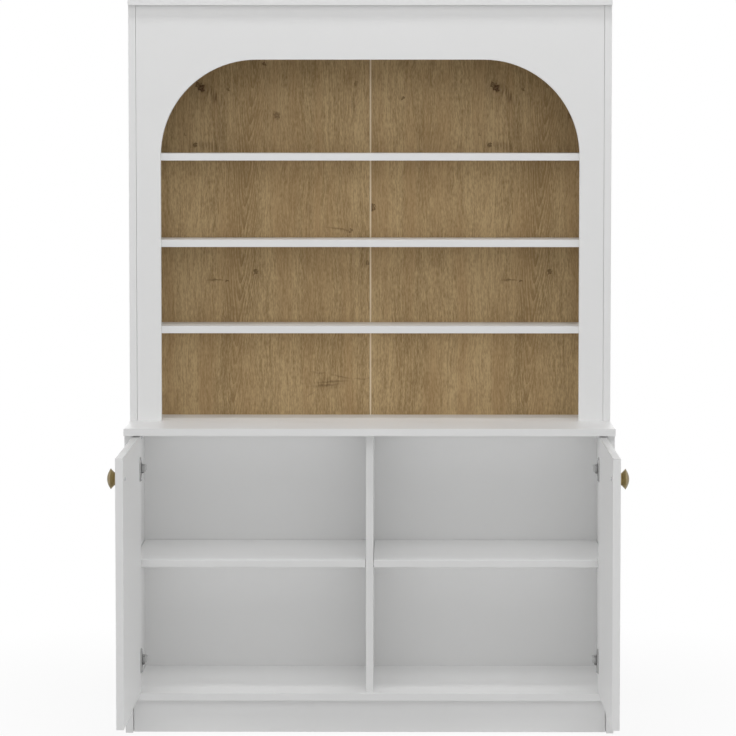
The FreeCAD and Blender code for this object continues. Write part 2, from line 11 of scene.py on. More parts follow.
import bmesh
import bpy
import numpy as np
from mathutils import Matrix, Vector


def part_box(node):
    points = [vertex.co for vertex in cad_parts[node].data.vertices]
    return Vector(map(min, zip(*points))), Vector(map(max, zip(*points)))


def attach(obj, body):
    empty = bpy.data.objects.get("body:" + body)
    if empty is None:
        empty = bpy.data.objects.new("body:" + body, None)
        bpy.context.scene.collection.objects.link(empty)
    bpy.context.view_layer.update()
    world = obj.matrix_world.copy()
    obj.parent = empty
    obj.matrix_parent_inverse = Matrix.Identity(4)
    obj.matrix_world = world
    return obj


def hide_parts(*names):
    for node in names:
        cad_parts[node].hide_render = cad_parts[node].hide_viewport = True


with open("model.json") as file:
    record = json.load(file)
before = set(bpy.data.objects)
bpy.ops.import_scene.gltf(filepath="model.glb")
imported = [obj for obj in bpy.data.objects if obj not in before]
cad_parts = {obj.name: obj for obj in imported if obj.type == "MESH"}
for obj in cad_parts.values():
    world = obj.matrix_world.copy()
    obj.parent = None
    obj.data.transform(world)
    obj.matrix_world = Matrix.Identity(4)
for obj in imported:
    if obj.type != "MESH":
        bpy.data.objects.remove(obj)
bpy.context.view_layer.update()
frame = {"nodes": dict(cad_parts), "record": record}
nodes = frame["nodes"]

# %% [markdown]
# Every finish here is a tree of shader nodes. Wiring such trees by hand takes many lines, so small helpers
# do it. The first adds a node and fills its sockets, and the others build on it: sums, stretched noise, a
# change of range, a blend of two colours. Stretched noise is the heart of wood, fibre and brushed metal,
# because their marks are long one way and thin the other.

# %% Helpers for finishes
# The mixing node has several sockets of one name, so its two colours and its result go by number
MIX_COLOURS = (6, 7)
MIX_RESULT = 2
# The levels between which most noise lies
NOISE_LEVELS = (0.3, 0.7)
# A surface looks along an axis if the cosine of the angle between them is over this
FACING_COSINE = 0.5


def add(tree, kind, sockets=None, **settings):
    """Adds a shader node, sets its options, and gives each named socket a value or a link."""
    made = tree.nodes.new(kind)
    for key, value in settings.items():
        setattr(made, key, value)
    for key, value in (sockets or {}).items():
        if isinstance(value, bpy.types.NodeSocket):
            tree.links.new(value, made.inputs[key])
        else:
            made.inputs[key].default_value = value
    return made


def work_out(tree, operation, *values):
    """The result of one sum on up to three numbers or sockets."""
    return add(tree, "ShaderNodeMath", dict(enumerate(values)), operation=operation).outputs[0]


def noise(tree, where, per_metre, detail):
    """Noise from 0 to 1: so many grains in a metre along x, y and z, in finer layers as detail grows."""
    stretched = add(tree, "ShaderNodeMapping", {"Vector": where, "Scale": per_metre}).outputs[0]
    sockets = {"Vector": stretched, "Scale": 1.0, "Detail": detail}
    return add(tree, "ShaderNodeTexNoise", sockets).outputs["Fac"]


def between(tree, value, low, high, start=0.0, end=1.0):
    """Carries a value from one range to another, with the ends held."""
    return add(tree, "ShaderNodeMapRange", {"Value": value, "From Min": low, "From Max": high,
                                            "To Min": start, "To Max": end}).outputs[0]


def blend_colours(tree, share, first, second):
    """The first colour where the share is 0, the second where it is 1."""
    mixed = add(tree, "ShaderNodeMix", {"Factor": share}, data_type="RGBA")
    for key, value in zip(MIX_COLOURS, (first, second)):
        if isinstance(value, bpy.types.NodeSocket):
            tree.links.new(value, mixed.inputs[key])
        else:
            mixed.inputs[key].default_value = (*value, 1.0)
    return mixed.outputs[MIX_RESULT]


def new_finish(name, **sockets):
    """A material with one Principled shader whose named sockets are set, and the piece's own coordinates."""
    finish = bpy.data.materials.new(name)
    finish.use_nodes = True
    tree = finish.node_tree
    shader = tree.nodes["Principled BSDF"]
    for key, value in sockets.items():
        shader.inputs[key.replace("_", " ")].default_value = value
    where = add(tree, "ShaderNodeTexCoord").outputs["Object"]
    return finish, tree, shader, where


def feed(tree, shader, socket, value):
    """Links what was worked out to one of the shader's sockets."""
    tree.links.new(value, shader.inputs[socket])


def raise_surface(tree, shader, height, depth, strength=1.0):
    """Shades a surface as if the height from 0 to 1 stood so many metres proud."""
    bump = add(tree, "ShaderNodeBump", {"Height": height, "Distance": depth, "Strength": strength})
    feed(tree, shader, "Normal", bump.outputs[0])


def facing(tree, axis):
    """1 where the surface looks along an axis of the piece, else 0."""
    normal = add(tree, "ShaderNodeTexCoord").outputs["Normal"]
    cosine = add(tree, "ShaderNodeSeparateXYZ", {"Vector": normal}).outputs[axis]
    return work_out(tree, "GREATER_THAN", cosine, FACING_COSINE)


def dress(finish, *names):
    """Gives CAD pieces their finish."""
    for name in names:
        nodes[name].data.materials.clear()
        nodes[name].data.materials.append(finish)


# %% [markdown]
# The boards are chipboard faced with white melamine. From a step away it is an even satin white, but it
# isn't flat: the press leaves a fine pearl in the surface, and the sheen drifts a little across a board.
# Both are noise, one of about a millimetre as a bump, and one of a hand's width in the roughness and the
# tone. The upper edges of the doors carry painted shade: grey is mixed into their colour. The finish finds
# them by the way the surface points.

# %% White melamine
MELAMINE_PALE = (0.88, 0.88, 0.877)
MELAMINE_DEEP = (0.86, 0.861, 0.858)
# Grey mixed into the doors' top edges as painted shade
TOP_EDGE_PAINTED_SHADE = (0.54, 0.54, 0.535)
# Here and below, grains are noise: how many in a metre along x, y and z, and their detail
PEARL_GRAINS = ((900, 900, 900), 3.0)
PEARL_DEPTH = 0.00003
DRIFT_GRAINS = ((5, 5, 5), 2.0)
SATIN_RANGE = (0.36, 0.46)


def white_melamine(name):
    """Two close whites and a satin sheen that drift across a board, under a fine pearl."""
    finish, tree, shader, where = new_finish(name)
    drift = noise(tree, where, *DRIFT_GRAINS)
    feed(tree, shader, "Base Color", blend_colours(tree, drift, MELAMINE_DEEP, MELAMINE_PALE))
    feed(tree, shader, "Roughness", between(tree, drift, *NOISE_LEVELS, *SATIN_RANGE))
    raise_surface(tree, shader, noise(tree, where, *PEARL_GRAINS), PEARL_DEPTH)
    return finish


def paint_shade_on_top(finish):
    """Paints shade into the faces of a finish that look up, by mixing grey into their colour."""
    tree = finish.node_tree
    colour = tree.nodes["Principled BSDF"].inputs["Base Color"]
    white = colour.links[0].from_socket
    tree.links.new(blend_colours(tree, facing(tree, "Z"), white, TOP_EDGE_PAINTED_SHADE), colour)
    return finish


by_slot = {}
for part in frame["record"]["subparts"]:
    by_slot.setdefault(part["material_slot"], []).append(part["node"])
base_backs = ("base_back_left", "base_back_right")
doors = ("left_door", "right_door")
white_boards = [name for name in by_slot["white_board"] if name not in base_backs + doors]
dress(white_melamine("white_melamine"), *white_boards)
# The doors' melamine has painted shade on its top edges
dress(paint_shade_on_top(white_melamine("door_melamine_painted_top_shade")), *doors)
print(f"white melamine on {len(white_boards)} boards and {len(doors)} doors")

# %% [markdown]
# The backs are thin hardboard. The side that looks at the wall is bare brown fibre, and the front is
# painted in the base and printed in the hutch. One finish can do both sides: it asks which way the surface
# points. Painted board is a little duller than melamine, and shows the fibre under the paint as a fine
# grain.

# %% Bare and painted hardboard
HARDBOARD_PALE = (0.40, 0.265, 0.150)
HARDBOARD_DEEP = (0.25, 0.155, 0.080)
HARDBOARD_GRAINS = ((260, 260, 260), 6.0)
PAINT_DRIFT_GRAINS = ((4, 4, 4), 2.0)
PAINT_GRAINS = ((700, 700, 700), 4.0)
PAINT_DEPTH = 0.00004
PAINT_ROUGHNESS = 0.55


def bare_behind(tree, where, front):
    """The colour of the front, but of bare pressed fibre where the surface looks to the rear."""
    fibre = between(tree, noise(tree, where, *HARDBOARD_GRAINS), *NOISE_LEVELS)
    bare = blend_colours(tree, fibre, HARDBOARD_DEEP, HARDBOARD_PALE)
    return blend_colours(tree, facing(tree, "Y"), front, bare)


def painted_hardboard():
    """The two whites of the boards, drifting, over a fine grain."""
    finish, tree, shader, where = new_finish("painted_hardboard", Roughness=PAINT_ROUGHNESS)
    drift = noise(tree, where, *PAINT_DRIFT_GRAINS)
    paint = blend_colours(tree, drift, MELAMINE_DEEP, MELAMINE_PALE)
    feed(tree, shader, "Base Color", bare_behind(tree, where, paint))
    raise_surface(tree, shader, noise(tree, where, *PAINT_GRAINS), PAINT_DEPTH)
    return finish


dress(painted_hardboard(), *base_backs)
print(f"painted hardboard on {len(base_backs)} backs of the base")

# %% [markdown]
# The oak print on the backs of the hutch is built up in three steps. First come its marks: knots, checks
# and smudges. All are dark ovals at chosen places, counted from the first knot. A knot has torn edges and a
# paler core, a check is a thin waved crack, and a smudge is a wide soft patch that darkens only the fibres
# in it. A picture would fix one board at one sharpness, but ovals in a formula stay sharp and can be laid
# anywhere.

# %% Marks of the oak print
KNOT_EDGE = (0.20, 0.65)
KNOT_CORE = (0.75, 0.98)
CORE_SHARE = 0.45
# A knot's height beside its width, and the half width and half height of its halo beside its radius
KNOT_TALL_SHARE = 1.2
HALO_REACH_SHARES = (4, 9)
HALO_SHARE = 0.07
TORN_PER_METRE = 150
TORN_BY = 0.004
WAVES_PER_METRE = 38
WAVED_BY = 0.003
SHAKE_DETAIL = 4.0
# Grains in a metre through the board, which keep the two shakes apart
SHAKES_APART = 40
# Knots: across and up from the first one, radius, and how dark they are
KNOTS = ((0.0, 0.0, 0.014, 0.87), (-0.009, 0.008, 0.009, 0.80), (0.192, -0.070, 0.015, 0.55),
         (0.394, 0.011, 0.008, 0.46), (0.069, -0.004, 0.007, 0.58), (0.161, 0.060, 0.006, 0.70),
         (-0.234, -0.025, 0.006, 0.80), (-0.312, -0.304, 0.012, 0.75), (0.138, -0.466, 0.010, 0.65),
         (0.423, -0.445, 0.009, 0.55), (0.380, -0.362, 0.007, 0.65), (0.063, -0.491, 0.005, 0.75),
         (-0.016, -0.146, 0.008, 0.60), (-0.041, -0.119, 0.005, 0.55))
# Checks, thin cracks across the grain: place, half length, half height, rise along the length, and how dark
CHECKS = ((0.332, -0.748, 0.066, 0.0044, 0.045, 0.40), (0.316, -0.757, 0.056, 0.0046, 0.06, 0.38),
          (0.355, -0.736, 0.040, 0.0042, -0.15, 0.38), (0.407, -0.740, 0.034, 0.0026, 0.04, 0.30),
          (0.301, -0.725, 0.036, 0.0034, -0.13, 0.26), (0.278, -0.779, 0.014, 0.0050, 0.90, 0.32),
          (0.036, -0.488, 0.030, 0.0032, 0.0, 0.56), (0.350, -0.358, 0.054, 0.0034, -0.095, 0.42))
# Smudges, soft patches of dark fibres: place, half length, half height, rise along the length, and how dark
SMUDGES = ((0.028, -0.016, 0.042, 0.026, -0.80, 0.80), (0.012, -0.147, 0.060, 0.016, 0.0, 0.50),
           (0.275, -0.307, 0.016, 0.030, 0.0, 0.50), (0.387, -0.044, 0.010, 0.022, 0.0, 0.70),
           (0.050, -0.100, 0.030, 0.080, 0.0, 0.25), (0.330, -0.752, 0.070, 0.022, 0.05, 0.28))


def spot(tree, across, up, place, reach):
    """1 at a place on the board, falling smoothly to 0 at an oval's edge.

    The squares of the two distances, each as a share of the oval's reach, are added, and the root is taken.
    """
    sides = []
    for value, middle, half in zip((across, up), place, reach):
        off = work_out(tree, "DIVIDE", work_out(tree, "SUBTRACT", value, middle), half)
        sides.append(work_out(tree, "MULTIPLY", off, off))
    gone = work_out(tree, "SQRT", work_out(tree, "ADD", *sides))
    return add(tree, "ShaderNodeMapRange", {"Value": gone, "From Min": 1.0, "From Max": 0.0},
               interpolation_type="SMOOTHSTEP").outputs[0]


def shake(tree, on_board, values, per_metre, by):
    """Moves each coordinate to and fro by noise, up to a distance."""
    shaken = []
    for number, value in enumerate(values):
        grains = (per_metre, SHAKES_APART * number, per_metre)
        moved = between(tree, noise(tree, on_board, grains, SHAKE_DETAIL), *NOISE_LEVELS, -by, by)
        shaken.append(work_out(tree, "ADD", value, moved))
    return shaken


def slanted(tree, across, up, place, rise):
    """The height above a line through a place that rises along its length."""
    return work_out(tree, "MULTIPLY_ADD", work_out(tree, "SUBTRACT", across, place[0]), -rise, up)


def oak_marks(tree, on_board, across, up, fibres):
    """How dark the knots, checks and smudges make the print.

    Of knots and checks the darkest counts. Halos and smudges are added, smudges by how dark the fibre is.
    """
    torn = shake(tree, on_board, (across, up), TORN_PER_METRE, TORN_BY)
    waved = shake(tree, on_board, (across, up), WAVES_PER_METRE, WAVED_BY)
    dark = 0.0
    for place_x, place_z, radius, depth in KNOTS:
        inside = spot(tree, *torn, (place_x, place_z), (radius, radius * KNOT_TALL_SHARE))
        core = between(tree, inside, *KNOT_CORE)
        knot = work_out(tree, "MULTIPLY_ADD", core, -CORE_SHARE, between(tree, inside, *KNOT_EDGE))
        halo = spot(tree, *torn, (place_x, place_z), [radius * share for share in HALO_REACH_SHARES])
        dark = work_out(tree, "MAXIMUM", dark, work_out(tree, "MULTIPLY", knot, depth))
        dark = work_out(tree, "MULTIPLY_ADD", halo, HALO_SHARE * depth, dark)
    for place_x, place_z, half_length, half_height, rise, depth in CHECKS:
        level = slanted(tree, *waved, (place_x, place_z), rise)
        check = spot(tree, waved[0], level, (place_x, place_z), (half_length, half_height))
        dark = work_out(tree, "MAXIMUM", dark, work_out(tree, "MULTIPLY", check, depth))
    for place_x, place_z, half_length, half_height, rise, depth in SMUDGES:
        level = slanted(tree, *torn, (place_x, place_z), rise)
        patch = spot(tree, torn[0], level, (place_x, place_z), (half_length, half_height))
        smudge = work_out(tree, "MULTIPLY", patch, work_out(tree, "SUBTRACT", 1.0, fibres))
        dark = work_out(tree, "MULTIPLY_ADD", smudge, depth, dark)
    return dark


print(f"{len(KNOTS)} knots, {len(CHECKS)} checks and {len(SMUDGES)} smudges")

# %% [markdown]
# The second step is the growth rings. A trunk that is sawn flat shows them as nested curves that point down
# along its heart, and as straight grain beside it. They come from the distance to a leaning heart line,
# less a share of the height: each time that sum passes a whole number, a ring ends in dark late wood and
# the next begins.

# %% Growth rings of the oak print
# The heart line: its place on the print, its lean, how blunt the curves are, and how far aside they show
HEART = (0.112, -0.286)
HEART_LEAN = 0.065
HEART_ROUND = 0.010
HEART_REACH = 0.055
# Rings in a metre across and along the board
RINGS_ACROSS = 185.0
RINGS_ALONG = 20.0
RING_WANDER = 2.4
WANDER_GRAINS = ((14, 3, 5), 3.0)
LATE_WOOD_POWER = 2.0
# Patches in which the rings are faint or clear
PATCH_GRAINS = ((2, 2, 4), 2.0)
PATCH_LEVELS = (0.36, 0.58)
PATCH_SHARES = (0.45, 1.0)


def growth_rings(tree, on_board, across, up):
    """How dark the late wood is: how far each ring has grown, squared, near the heart and by patches."""
    lean = work_out(tree, "MULTIPLY", work_out(tree, "SUBTRACT", up, HEART[1]), HEART_LEAN)
    sideways = work_out(tree, "SUBTRACT", work_out(tree, "SUBTRACT", across, HEART[0]), lean)
    rounded = work_out(tree, "SQRT", work_out(tree, "MULTIPLY_ADD", sideways, sideways, HEART_ROUND ** 2))
    wander = work_out(tree, "MULTIPLY", noise(tree, on_board, *WANDER_GRAINS), RING_WANDER)
    ring_place = work_out(tree, "MULTIPLY_ADD", up, -RINGS_ALONG, wander)
    ring = work_out(tree, "FRACT", work_out(tree, "MULTIPLY_ADD", rounded, RINGS_ACROSS, ring_place))
    near_heart = between(tree, rounded, HEART_ROUND, HEART_REACH, 1.0, 0.0)
    late_wood = work_out(tree, "MULTIPLY", work_out(tree, "POWER", ring, LATE_WOOD_POWER), near_heart)
    patches = between(tree, noise(tree, on_board, *PATCH_GRAINS), *PATCH_LEVELS, *PATCH_SHARES)
    return work_out(tree, "MULTIPLY", late_wood, patches)


print(f"{RINGS_ACROSS:.0f} rings in a metre across the board, {RINGS_ALONG:.0f} along it")

# %% [markdown]
# The third step is the wood. Broad bands, streaks, fibres, pores and long dark lines are noise stretched
# along the board, on a grain that sways a little, and their weighted sum picks a tone between pale and deep
# oak. Warm bands and a red streak beside the heart tint it, and the marks darken it. Both halves carry the
# same print, laid at different places, so one function makes both from the place of the first knot.

# %% Oak print
OAK_PALE = (0.570, 0.413, 0.2185)
OAK_DEEP = (0.306, 0.205, 0.0940)
OAK_WARM = (0.415, 0.265, 0.124)
OAK_KNOT = (0.072, 0.030, 0.007)
OAK_GLOSS = 0.2
OAK_ROUGHNESS = (0.62, 0.5)
OAK_DEPTH = 0.0001
RELIEF_SHARE = 0.6
PRINT_HEIGHT = 1.586
PRINT_PLACES = {"hutch_back_left": -0.430, "hutch_back_right": 0.318}
SWAY_GRAINS = ((9, 11, 5), 3.0)
GRAIN_SWAY = 0.014
# Streaks: name, how many in a metre along x, y and z, detail, and the noise levels taken as 0 and 1
STREAKS = (("broad", (9, 0, 0.9), 2.0, 0.30, 0.70), ("blotch", (26, 3, 12), 3.0, 0.30, 0.70),
           ("streak", (75, 0, 4), 3.0, 0.28, 0.72), ("fibre", (240, 0, 22), 3.0, 0.30, 0.70),
           ("fine", (420, 0, 90), 2.0, 0.32, 0.68), ("pores", (900, 0, 60), 1.0, 0.62, 0.74),
           ("lines", (170, 0, 2.5), 2.0, 0.60, 0.74), ("warm", (28, 5, 1.6), 2.0, 0.45, 0.75))
TONE_SHARES = {"broad": 0.24, "blotch": 0.15, "streak": 0.26, "fibre": 0.44, "fine": 0.42,
               "late_wood": -0.62, "pores": -0.20, "lines": -0.16}
TONE_RANGE = (0.43, 1.02)
WARM_SHARE = 0.55
# The red streak: place, half width and half height
RED_STREAK = ((0.056, -0.42), (0.030, 0.36))
KNOT_SHARE = 0.97


def oak_streaks(tree, on_board):
    """Each kind of streak, from 0 to 1, along a grain that is moved aside by slow noise."""
    sway = between(tree, noise(tree, on_board, *SWAY_GRAINS), 0.0, 1.0, -GRAIN_SWAY, GRAIN_SWAY)
    aside = add(tree, "ShaderNodeCombineXYZ", {"X": sway}).outputs[0]
    grain = add(tree, "ShaderNodeVectorMath", {0: on_board, 1: aside}, operation="ADD").outputs[0]
    return {name: between(tree, noise(tree, grain, per_metre, detail), low, high)
            for name, per_metre, detail, low, high in STREAKS}


def oak_print(name, first_knot):
    """Deep to pale oak by the weighted sum of streaks and rings, then tinted warm and darkened by marks."""
    finish, tree, shader, where = new_finish(name, Specular_IOR_Level=OAK_GLOSS)
    start = (first_knot, 0, PRINT_HEIGHT)
    on_board = add(tree, "ShaderNodeVectorMath", {0: where, 1: start}, operation="SUBTRACT").outputs[0]
    parts = add(tree, "ShaderNodeSeparateXYZ", {"Vector": on_board}).outputs
    across, up = parts["X"], parts["Z"]
    tones = oak_streaks(tree, on_board)
    tones["late_wood"] = growth_rings(tree, on_board, across, up)
    tone = 0.0
    for part, share in TONE_SHARES.items():
        tone = work_out(tree, "MULTIPLY_ADD", tones[part], share, tone)
    red_streak = work_out(tree, "MULTIPLY", spot(tree, across, up, *RED_STREAK), tones["streak"])
    warm = work_out(tree, "MAXIMUM", tones["warm"], red_streak)
    dark = oak_marks(tree, on_board, across, up, tones["fibre"])
    wood = blend_colours(tree, between(tree, tone, *TONE_RANGE), OAK_DEEP, OAK_PALE)
    wood = blend_colours(tree, work_out(tree, "MULTIPLY", warm, WARM_SHARE), wood, OAK_WARM)
    wood = blend_colours(tree, between(tree, dark, 0.0, 1.0, 0.0, KNOT_SHARE), wood, OAK_KNOT)
    feed(tree, shader, "Base Color", bare_behind(tree, where, wood))
    feed(tree, shader, "Roughness", between(tree, tone, *TONE_RANGE, *OAK_ROUGHNESS))
    relief = work_out(tree, "SUBTRACT", tones["fibre"], tones["pores"])
    raise_surface(tree, shader, relief, OAK_DEPTH, RELIEF_SHARE)
    return finish


for name, first_knot in PRINT_PLACES.items():
    dress(oak_print(f"oak_{name}", first_knot), name)
print(f"oak print of {len(STREAKS)} kinds of streak, laid on {len(PRINT_PLACES)} boards")

# %% [markdown]
# The small metal pieces come in two finishes. Hinges are nickel plated and brushed by the press, and fixings
# are zinc plated with a cloudy spangle. All are full metals: their colour is the colour of what they
# reflect, so the roughness does most of the work. The nickel comes in three copies: the cups' own grey, a
# brighter copy on the arms that is a painted highlight, and a darker copy on the links that is painted
# shade.

# %% Nickel and zinc
CUP_NICKEL = (0.36, 0.36, 0.357)
# The arms' brighter grey is a painted highlight, and the links' darker grey is painted shade
NICKEL_PAINTED_LIT = (0.50, 0.50, 0.497)
NICKEL_PAINTED_SHADE = (0.24, 0.24, 0.238)
BRUSHED_GRAINS = ((200, 900, 2500), 3.0)
NICKEL_ROUGHNESS = (0.28, 0.42)
NICKEL_DEPTH = 0.00002
ZINC_PALE = (0.56, 0.57, 0.58)
ZINC_DEEP = (0.40, 0.41, 0.43)
SPANGLE_GRAINS = ((350, 350, 350), 2.0)
SPANGLE_LEVELS = (0.35, 0.65)
ZINC_ROUGHNESS = (0.32, 0.48)


def pressed_nickel(name, colour):
    """One colour, with roughness and relief from noise that is thin the way the press brushes."""
    finish, tree, shader, where = new_finish(name, Metallic=1.0, Base_Color=(*colour, 1.0))
    brushed = noise(tree, where, *BRUSHED_GRAINS)
    feed(tree, shader, "Roughness", between(tree, brushed, *NOISE_LEVELS, *NICKEL_ROUGHNESS))
    raise_surface(tree, shader, brushed, NICKEL_DEPTH)
    return finish


def zinc_plate():
    """Two greys and a roughness that follow one cloudy noise."""
    finish, tree, shader, where = new_finish("zinc_plate", Metallic=1.0)
    spangle = noise(tree, where, *SPANGLE_GRAINS)
    clouds = between(tree, spangle, *SPANGLE_LEVELS)
    feed(tree, shader, "Base Color", blend_colours(tree, clouds, ZINC_DEEP, ZINC_PALE))
    feed(tree, shader, "Roughness", between(tree, spangle, *NOISE_LEVELS, *ZINC_ROUGHNESS))
    return finish


nickel = pressed_nickel("cup_nickel", CUP_NICKEL)
painted_lit_nickel = pressed_nickel("arm_nickel_painted_highlight", NICKEL_PAINTED_LIT)
painted_shade_nickel = pressed_nickel("link_nickel_painted_shade", NICKEL_PAINTED_SHADE)
zinc = zinc_plate()
dress(nickel, *by_slot["hinge_nickel"])
dress(zinc, *by_slot["zinc_steel"])
print(f"nickel on {len(by_slot['hinge_nickel'])} pieces, zinc on {len(by_slot['zinc_steel'])}")

# %% [markdown]
# Dowels are beech, and a thin strip of pale plastic covers the joint between the two oak backs. Both are
# plain and matt, with a grain of two close tones, so one function makes both.

# %% Beech and the joint strip
# Pale and deep tone, grains and roughness
BEECH = ((0.62, 0.45, 0.27), (0.46, 0.30, 0.16), ((500, 500, 40), 3.0), 0.6)
JOINT_STRIP = ((0.80, 0.68, 0.50), (0.74, 0.62, 0.44), ((300, 300, 20), 3.0), 0.45)
GRAIN_DEPTH = 0.00005


def grained(name, pale, deep, grains, roughness):
    """A plain matt material with a grain of two tones."""
    finish, tree, shader, where = new_finish(name, Roughness=roughness)
    grain = between(tree, noise(tree, where, *grains), *NOISE_LEVELS)
    feed(tree, shader, "Base Color", blend_colours(tree, grain, deep, pale))
    raise_surface(tree, shader, grain, GRAIN_DEPTH)
    return finish


dress(grained("beech", *BEECH), *by_slot["beech"])
dress(grained("joint_strip", *JOINT_STRIP), *by_slot["strip_plastic"])
print({slot: len(names) for slot, names in by_slot.items()})

# %% [markdown]
# A turned or pressed piece is a surface over two parameters: how far along its profile, and how far round.
# numpy works out the whole grid of points at once, and a second grid of corner numbers joins them into
# four-sided faces. Where the profile starts or ends on the axis, all points of that row fall together and
# are merged into a pole.

# %% Helpers for turned pieces
X, Y, Z = range(3)
POINT_MERGE = 1e-7
SMOOTH_ANGLE = math.radians(35)
# An axis steeper than this share of upright takes its side from x, and any other from z
UPRIGHT_SHARE = 0.9
# The way along x from each side to the middle of the buffet
INWARD = {"left": 1, "right": -1}


def full_turn(steps):
    """Angles at even steps once round."""
    return np.linspace(0, 2 * math.pi, steps, endpoint=False)


def mesh_points(mesh):
    """All points of a mesh, as rows of x, y and z."""
    places = np.empty(len(mesh.vertices) * 3)
    mesh.vertices.foreach_get("co", places)
    return places.reshape(-1, 3)


def grid_faces(rows, columns):
    """Corner numbers of the faces of a grid that closes on itself round its columns."""
    numbers = np.arange(rows * columns).reshape(rows, columns)
    after = np.roll(numbers, -1, axis=1)
    return np.stack([numbers[:-1], after[:-1], after[1:], numbers[1:]], axis=-1).reshape(-1, 4)


def directions(axis):
    """Two directions square to an axis, and the axis, each of length 1."""
    axis = np.asarray(axis, float)
    helper = np.eye(3)[Z if abs(axis[Z]) < UPRIGHT_SHARE else X]
    side = np.cross(helper, axis)
    side = side / np.linalg.norm(side)
    return side, np.cross(axis, side), axis


def spun(middle, axis, reach, height):
    """Points of a grid spun about an axis: each so far out by its turn's cosine and sine, and so high."""
    side, other, out = directions(axis)
    turn = full_turn(reach.shape[1])
    return (middle + (reach * np.cos(turn))[..., None] * side + (reach * np.sin(turn))[..., None] * other
            + height[..., None] * out)


def make_piece(name, node, grids, finish, body):
    """A piece made of grids of one size, which replaces a CAD node. Poles merge, and faces turn outwards."""
    points = np.stack(grids)
    rows, columns = points.shape[1:3]
    starts = np.arange(len(grids))[:, None, None] * rows * columns
    faces = (grid_faces(rows, columns) + starts).reshape(-1, 4)
    mesh = bpy.data.meshes.new(name)
    mesh.from_pydata(points.reshape(-1, 3).tolist(), [], faces.tolist())
    shape = bmesh.new()
    shape.from_mesh(mesh)
    bmesh.ops.remove_doubles(shape, verts=shape.verts, dist=POINT_MERGE)
    bmesh.ops.recalc_face_normals(shape, faces=shape.faces)
    shape.to_mesh(mesh)
    shape.free()
    mesh.shade_smooth()
    mesh.set_sharp_from_angle(angle=SMOOTH_ANGLE)
    mesh.materials.append(finish)
    piece = bpy.data.objects.new(name, mesh)
    bpy.context.scene.collection.objects.link(piece)
    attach(piece, body)
    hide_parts(node)
    print(f"{name} of {len(mesh.polygons)} faces instead of {node}")
    return piece


# %% [markdown]
# Each door has a turned brass knob: a foot, a cone that opens out at 45 degrees to a thin rim, and a low
# dome. A screw modifier could spin the profile, but a grid gives a UV map down the profile as well. The
# brass finish follows it: the turner's marks are rings, the cone is painted brighter as a painted reflection
# and the dome darker as painted shade, and a cloudy patina lies over both. The sizes come from the knob's
# own box in the frame, and the stretches of the profile are shares of it.

# %% Knobs
KNOB_ROUND_STEPS = 128
CONE_STEPS = 12
RIM_STEPS = 9
DOME_STEPS = 24
FOOT_RADIUS_SHARE = 0.646
NECK_RADIUS_SHARE = 0.583
FOOT_HEIGHT_SHARE = 0.178
RIM_LOW_SHARE = 0.585
RIM_HIGH_SHARE = 0.64
EDGE_SHARE = 0.03
CONE_POWER = 1.1
BRASS_PAINTED_LIT = (0.45, 0.355, 0.172)
BRASS_PATINA_AND_SHADE = (0.190, 0.144, 0.068)
BRASS_ROUGHNESS = (0.26, 0.46)
DOME_PAINTED_SHADE_SHARE = 0.70
PATINA_GRAINS = ((90, 90, 90), 4.0)
PATINA_LEVELS = (0.38, 0.66)
PATINA_SHARE = 0.30
TURNING_MARKS = 900.0
MARK_DEPTH = 0.00001


def aged_brass():
    """Brighter to darker brass by height, a painted reflection on the cone and painted shade on the dome,
    and by a cloudy patina, with rings from a sine of the height.
    """
    finish, tree, shader, where = new_finish("aged_brass", Metallic=1.0)
    down_profile = add(tree, "ShaderNodeUVMap", uv_map="turned").outputs[0]
    height = add(tree, "ShaderNodeSeparateXYZ", {"Vector": down_profile}).outputs["Y"]
    patina = noise(tree, where, *PATINA_GRAINS)
    # Height paints the cone brighter, a painted reflection, and the dome darker, painted shade; the patina
    # is added on top
    shade_and_patina = between(tree, height, RIM_LOW_SHARE, RIM_HIGH_SHARE, 0.0, DOME_PAINTED_SHADE_SHARE)
    shade_and_patina = work_out(tree, "MULTIPLY_ADD", between(tree, patina, *PATINA_LEVELS), PATINA_SHARE, shade_and_patina)
    feed(tree, shader, "Base Color", blend_colours(tree, shade_and_patina, BRASS_PAINTED_LIT, BRASS_PATINA_AND_SHADE))
    feed(tree, shader, "Roughness", between(tree, patina, *NOISE_LEVELS, *BRASS_ROUGHNESS))
    tool_marks = work_out(tree, "SINE", work_out(tree, "MULTIPLY", height, TURNING_MARKS))
    raise_surface(tree, shader, tool_marks, MARK_DEPTH)
    return finish


